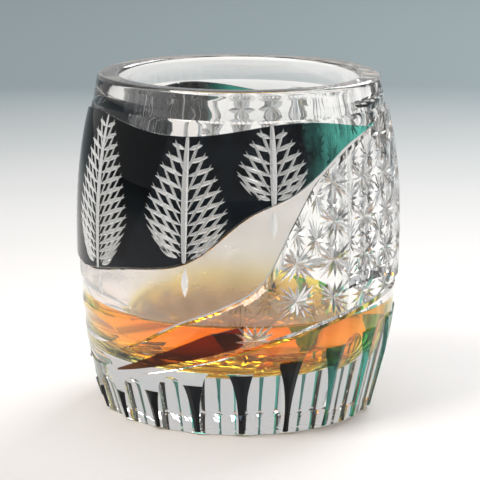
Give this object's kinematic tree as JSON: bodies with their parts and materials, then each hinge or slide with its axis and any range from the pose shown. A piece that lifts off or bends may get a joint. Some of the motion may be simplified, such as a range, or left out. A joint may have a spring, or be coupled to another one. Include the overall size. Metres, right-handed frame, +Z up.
{
  "type": "shot glass",
  "caption": "Heavy barrel-shaped cup of clear cut crystal with a thin dark casing left as sky, trees and ridges, and a star-cut mountain.",
  "frame": {"origin": "centre of the flat foot, on the surface that the cup stands on", "axes": "+Z up, through the mouth; -Y towards the side with the tall trees; +X towards the star-cut mountain"},
  "size_m": [0.062, 0.0619, 0.0639],
  "materials": {
    "crystal": "polished clear crystal, partly cut",
    "casing": "polished dark green glass, nearly black"
  },
  "bodies": {
    "root": {"crystal_body": "crystal", "casing_sky": "casing", "casing_lens_front": "casing", "casing_lens_back": "casing", "casing_ridge_01": "casing", "casing_ridge_02": "casing", "casing_ridge_03": "casing", "casing_ridge_04": "casing", "casing_ridge_05": "casing", "casing_ridge_06": "casing", "casing_ridge_07": "casing", "casing_ridge_08": "casing", "casing_ridge_09": "casing", "casing_ridge_10": "casing", "casing_ridge_11": "casing", "casing_ridge_12": "casing", "casing_ridge_13": "casing", "casing_ridge_14": "casing", "casing_ridge_15": "casing", "casing_ridge_16": "casing", "casing_ridge_17": "casing", "casing_ridge_18": "casing", "casing_ridge_19": "casing", "casing_ridge_20": "casing"}
  },
  "joints": []
}
